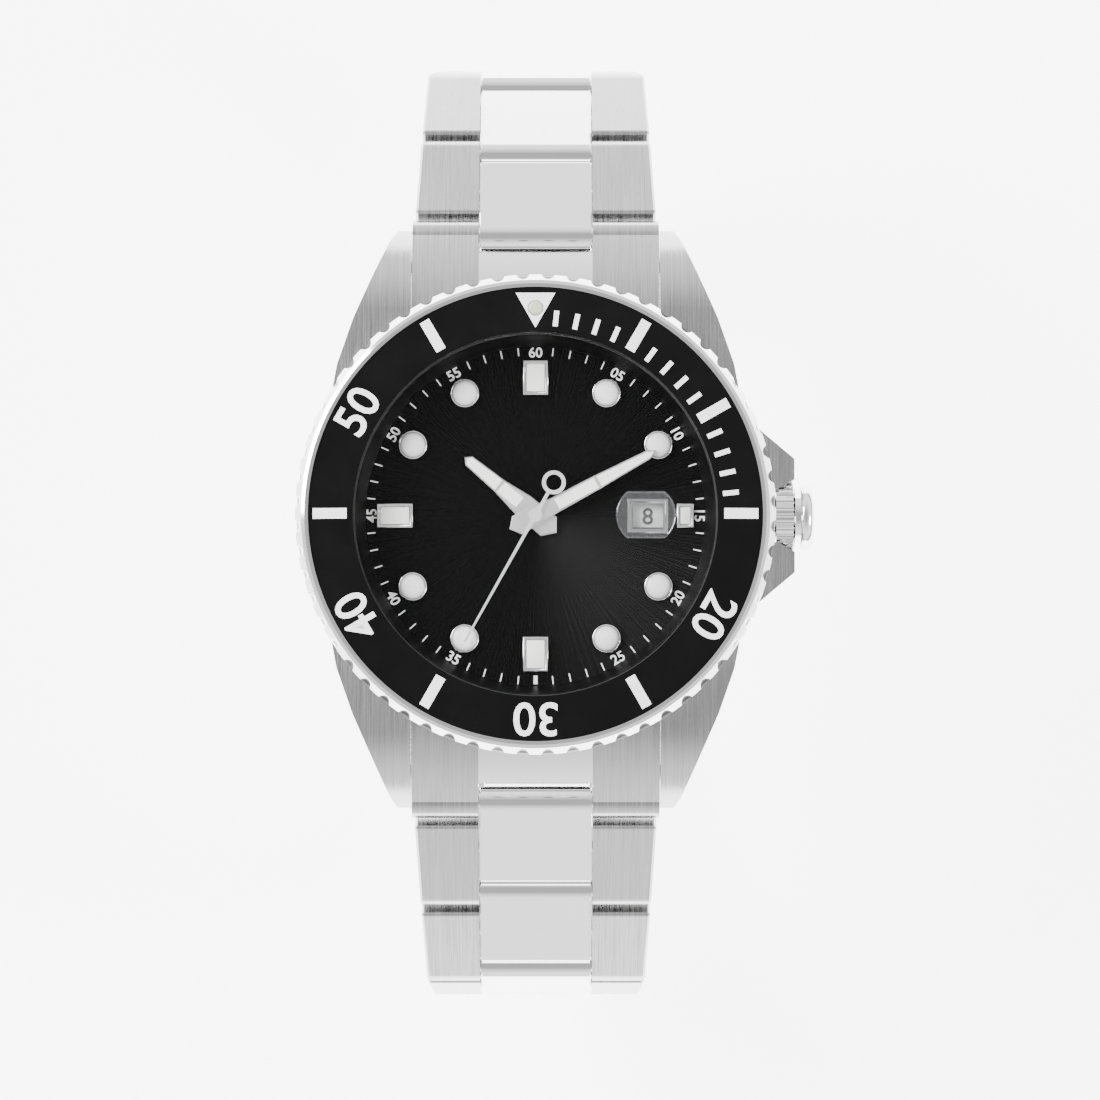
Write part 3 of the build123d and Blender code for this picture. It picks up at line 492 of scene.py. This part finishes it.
# the bezel insert's marks, on its sloping face
insert = {"inner": 15.95, "edgeTall": 0.6, "deep": 0.035, "middle": 17.97,
          "numerals": (20, 30, 40, 50), "numeralTall": 3.0, "bold": 0.05, "barWide": 0.92, "barLong": 3.0,
          "tickEnd": 15, "tickWide": 0.43, "tickLong": 1.4, "tickAt": 17.15,
          "triangleHalf": 1.735, "triangleOut": 1.38, "triangleIn": 1.72,
          "pearlRoom": 0.69, "pearlShift": 0.03}
insertLow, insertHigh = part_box("bezel_insert")
insertOut = insertHigh[0]
outerTop = insertLow[2] + insert["edgeTall"] * mm
slope = math.atan2(insertHigh[2] - outerTop, insertOut - insert["inner"] * mm)


def onInsert(radius, degrees):
    height = outerTop + (insertOut - radius * mm) * math.tan(slope)
    return turned(degrees) @ Matrix.Translation((0, radius * mm, height)) @ Matrix.Rotation(-slope, 4, "X")


def addTriangle(bm):
    # points at zero, with a round hole for the pearl
    corners = [(-insert["triangleHalf"], insert["triangleOut"]),
               (insert["triangleHalf"], insert["triangleOut"]), (0, -insert["triangleIn"])]
    tips = [bm.verts.new((x * mm, y * mm, 0)) for x, y in corners]
    circle = bmesh.ops.create_circle(bm, segments=32, radius=insert["pearlRoom"] * mm, cap_ends=False)
    hole = circle["verts"]
    bmesh.ops.translate(bm, vec=(0, insert["pearlShift"] * mm, 0), verts=hole)
    rims = [bm.edges.new((tips[i], tips[(i + 1) % 3])) for i in range(3)]
    rims += list(dict.fromkeys(e for v in hole for e in v.link_edges))      # each once, in order
    filled = bmesh.ops.triangle_fill(bm, edges=rims, use_beauty=True)["geom"]
    flat = [g for g in filled if isinstance(g, bmesh.types.BMFace)]
    lifted = bmesh.ops.extrude_face_region(bm, geom=flat)["geom"]
    top = [g for g in lifted if isinstance(g, bmesh.types.BMVert)]
    bmesh.ops.translate(bm, vec=(0, 0, insert["deep"] * mm), verts=top)
    bmesh.ops.transform(bm, matrix=onInsert(insert["middle"], 0), verts=tips + hole + top)


bm = bmesh.new()
for minute in range(5, 60, 5):
    face = onInsert(insert["middle"], minute * 6)
    if minute in insert["numerals"]:
        addText(bm, str(minute), insert["numeralTall"] * mm, face, insert["bold"] * mm, insert["deep"] * mm)
    else:
        addBlock(bm, insert["barWide"] * mm, insert["barLong"] * mm, insert["deep"] * mm, face)
for minute in range(1, insert["tickEnd"]):
    if minute % 5:
        addBlock(bm, insert["tickWide"] * mm, insert["tickLong"] * mm, insert["deep"] * mm,
                 onInsert(insert["tickAt"], minute * 6))
addTriangle(bm)
newPiece("bezelMarks", bm, inkWhite, "bezel")
print("bezel marks made")


# the dial's minute track
track = {"inner": 14.2, "outer": 14.9, "wide": 0.1, "numeralTall": 0.92, "numeralAt": 14.45, "bold": 0.022,
         "lowBar": (0.35, 0.75), "deep": 0.02}
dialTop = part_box("dial")[1][2]


def onDial(radius, degrees, flip=False):
    face = Matrix.Translation((0, radius * mm, dialTop))
    if flip:
        face = face @ Matrix.Rotation(math.pi, 4, "Z")
    return turned(degrees) @ face


bm = bmesh.new()
for minute in range(60):
    if minute % 5:
        addBlock(bm, track["wide"] * mm, (track["outer"] - track["inner"]) * mm, track["deep"] * mm,
                 onDial((track["inner"] + track["outer"]) / 2, minute * 6))
    elif minute == 30:
        barWide, barLong = track["lowBar"]
        addBlock(bm, barWide * mm, barLong * mm, track["deep"] * mm, onDial(track["numeralAt"], 180))
    else:
        words = f"{minute or 60:02d}"
        face = onDial(track["numeralAt"], minute * 6, 15 < minute < 45)
        addText(bm, words, track["numeralTall"] * mm, face, track["bold"] * mm, track["deep"] * mm)
newPiece("dialPrint", bm, inkWhite, "case")
print("dial printed")


# hour markers: round cups and square-cornered frames, each filled with lume
marker = {"rise": 0.46, "fillTop": 0.85,
          "dotRing": 12.5, "dotRadius": 1.28, "dotRim": 0.17, "dotHours": (1, 2, 4, 5, 7, 8, 10, 11),
          "domeTall": 0.32, "domeSteps": 6,
          "barRim": 0.26, "barGap": 0.05, "barEdge": 0.06, "barSunk": 0.4, "barFill": 0.3,
          "barFillEdge": 0.03,
          "bars": [(0, 12.2, 2.2, 3.05), (180, 12.2, 2.2, 3.05), (270, 12.4, 2.1, 3.15),
                   (90, 13.2, 2.1, 1.5)]}            # degrees, radius, width, length
rise = marker["rise"] * mm
outR = marker["dotRadius"] * mm
inR = outR - marker["dotRim"] * mm
fillZ = rise * marker["fillTop"]
cupSide = [(0, 0), (outR, 0), (outR, rise * 0.72), (outR - 0.04 * mm, rise * 0.9), (outR - 0.1 * mm, rise),
           (inR + 0.05 * mm, rise * 0.97), (inR, fillZ), (inR, rise * 0.5), (0, rise * 0.5)]
domeSide = [(0, rise * 0.5), (inR, rise * 0.5)]
for step in range(marker["domeSteps"]):
    angle = math.pi / 2 * step / marker["domeSteps"]
    domeSide.append((inR * math.cos(angle), fillZ + marker["domeTall"] * mm * math.sin(angle)))
domeSide.append((0, fillZ + marker["domeTall"] * mm))


def addFrame(bm, wide, tall, matrix):
    part = startBlock(wide, tall, rise)
    top = max(part.faces, key=lambda f: f.calc_center_median().z)
    rounded(part, list(top.edges), marker["barEdge"] * mm)
    top = max(part.faces, key=lambda f: (round(f.calc_center_median().z, 7), f.calc_area()))
    bmesh.ops.inset_region(part, faces=[top], thickness=(marker["barRim"] - marker["barEdge"]) * mm)
    bmesh.ops.inset_region(part, faces=[top], thickness=0.01 * mm, depth=-rise * marker["barSunk"])
    joinInto(bm, part, matrix)


cups = bmesh.new()
barFills = bmesh.new()
dotFills = bmesh.new()
for hour in marker["dotHours"]:
    addSpin(cups, cupSide, onDial(marker["dotRing"], hour * 30))
    addSpin(dotFills, domeSide, onDial(marker["dotRing"], hour * 30))
for degrees, at, wide, tall in marker["bars"]:
    addFrame(cups, wide * mm, tall * mm, onDial(at, degrees))
    rims = 2 * (marker["barRim"] + marker["barGap"])
    fillPlace = onDial(at, degrees) @ Matrix.Translation((0, 0, fillZ - rise * marker["barFill"]))
    addBlock(barFills, (wide - rims) * mm, (tall - rims) * mm, rise * marker["barFill"], fillPlace,
             marker["barFillEdge"] * mm)
frames = newPiece("markerFrames", cups, frameSteel, "case", True)
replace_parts(frames, "hour_markers")
for name, fills, finish in (("barLumes", barFills, lumeWhite), ("dotLumes", dotFills, dotLume)):
    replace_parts(newPiece(name, fills, finish, "case", True), "marker_lume")
print("markers made")


# figures on the date disc
dateRing = {"at": 9.9, "tall": 1.5, "bold": 0.03, "shown": 8, "deep": 0.015, "narrow": 0.72}
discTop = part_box("date_disc")[1][2]
bm = bmesh.new()
for day in range(1, 32):
    around = (day - dateRing["shown"]) * math.tau / 31
    face = Matrix.Rotation(around, 4, "Z") @ Matrix.Translation((dateRing["at"] * mm, 0, discTop))
    addText(bm, str(day), dateRing["tall"] * mm, face, dateRing["bold"] * mm, dateRing["deep"] * mm,
            1.0 if day < 10 else dateRing["narrow"])
newPiece("dateFigures", bm, inkBlack, "date_disc")
print("date figures made")


# floor: it glows under the watch and fades to the sides, so that the steel has a dark side to mirror
paperSheet = {"size": 6, "drop": 0.0002, "glow": 5.0, "near": 0.11, "far": 0.22, "shade": (0.05, 0.92)}
bpy.ops.mesh.primitive_plane_add(size=paperSheet["size"], location=(0, 0, cadBox[0][2] - paperSheet["drop"]))
floor = bpy.context.object
floor.name = "floor"
paper = Finish("paper", Roughness=0.9, Emission_Strength=paperSheet["glow"])
side = abs(paper.split(paper.place)[0])
lit = paper.span(side, 1.0, 0.0, paperSheet["near"], paperSheet["far"])
paper.feed("Base Color", paper.ramp(lit, *paperSheet["shade"]))
paper.feed("Emission Color", paper.ramp(lit, 0.0, 1.0))
floor.data.materials.append(paper.material)

# studio walls: bright low down all round, dimmer overhead
studio = {"strength": 2.0, "bands": [(0.0, 0.9), (0.06, 1.0), (0.5, 1.0), (0.82, 0.62), (0.97, 0.3)]}
world = bpy.data.worlds.new("studio")
bpy.context.scene.world = world
world.use_nodes = True
sky = Wiring(world.node_tree, "Background")
toward = sky.add("ShaderNodeTexCoord", {}, {}, "Generated")
sky.feed("Color", sky.add("ShaderNodeValToRGB", {"stops": studio["bands"]}, {0: sky.split(toward)[2]}))
sky.shader.inputs["Strength"].default_value = studio["strength"]

softboxes = {"leftLight": {"place": (-0.7, 0.35, 0.6), "side": 0.5, "power": 24},
             "rightLight": {"place": (0.8, -0.2, 0.5), "side": 0.3, "power": 9}}
for name, box in softboxes.items():
    lamp = bpy.data.lights.new(name, "AREA")
    lamp.shape = "RECTANGLE"
    lamp.size = box["side"]
    lamp.size_y = box["side"]
    lamp.energy = box["power"]
    holder = bpy.data.objects.new(name, lamp)
    holder.location = box["place"]
    holder.rotation_euler = (-Vector(box["place"])).to_track_quat("-Z", "Y").to_euler()
    bpy.context.scene.collection.objects.link(holder)
print("studio lit")

view = {"far": 420, "lens": 157.4, "elevation": 87.2, "aim": (1.27, -3.19, 11.0)}
lift = math.radians(view["elevation"])
eye = bpy.data.cameras.new("camera")
eye.lens = view["lens"]
eye.sensor_width = 36
eye.clip_start = 0.01
camera = bpy.data.objects.new("camera", eye)
back = Vector((0, -math.cos(lift), math.sin(lift)))
camera.location = (Vector(view["aim"]) + back * view["far"]) * mm
camera.rotation_euler = (math.pi / 2 - lift, 0, 0)
bpy.context.scene.collection.objects.link(camera)
bpy.context.scene.camera = camera
print("camera set")
